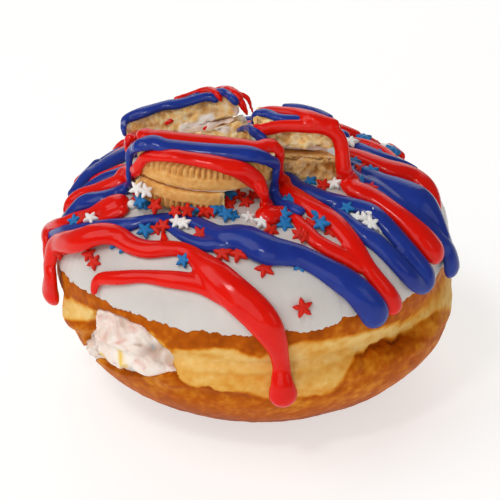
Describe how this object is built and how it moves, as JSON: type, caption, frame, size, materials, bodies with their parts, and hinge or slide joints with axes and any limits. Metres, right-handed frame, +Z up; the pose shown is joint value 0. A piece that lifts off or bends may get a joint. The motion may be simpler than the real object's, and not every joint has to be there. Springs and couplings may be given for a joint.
{
  "type": "birthday doughnut",
  "caption": "Cream-filled yeast doughnut with white icing, red and blue drizzle, star sprinkles and broken sandwich cookies on top.",
  "frame": {"origin": "on the surface it rests on, under the middle of the bun, at the middle of its flat spot", "axes": "+Z up, +X to the right of the shown side, and the shown side, with the drip and the mouth of cream, faces -Y"},
  "size_m": [0.1022, 0.0997, 0.0752],
  "materials": {
    "crust": "fried yeast dough, brown above and below with a pale band round the waist",
    "filling": "whipped vanilla cream with coloured specks",
    "icing": "set white icing, slightly glossy",
    "drizzle_red": "glossy red icing",
    "drizzle_blue": "glossy dark blue icing",
    "sprinkle_red": "pressed sugar",
    "sprinkle_blue": "pressed sugar",
    "sprinkle_white": "pressed sugar",
    "biscuit": "baked golden wafer with a crumbly break",
    "cookie_cream": "soft sugar cream"
  },
  "bodies": {
    "root": {"bun": "crust", "filling": "filling", "icing": "icing", "cookie_front_lower": "biscuit", "cookie_front_cream": "cookie_cream", "cookie_front_upper": "biscuit", "cookie_back_lower": "biscuit", "cookie_back_cream": "cookie_cream", "cookie_back_upper": "biscuit", "cookie_right_lower": "biscuit", "cookie_right_cream": "cookie_cream", "cookie_right_upper": "biscuit"}
  },
  "joints": []
}
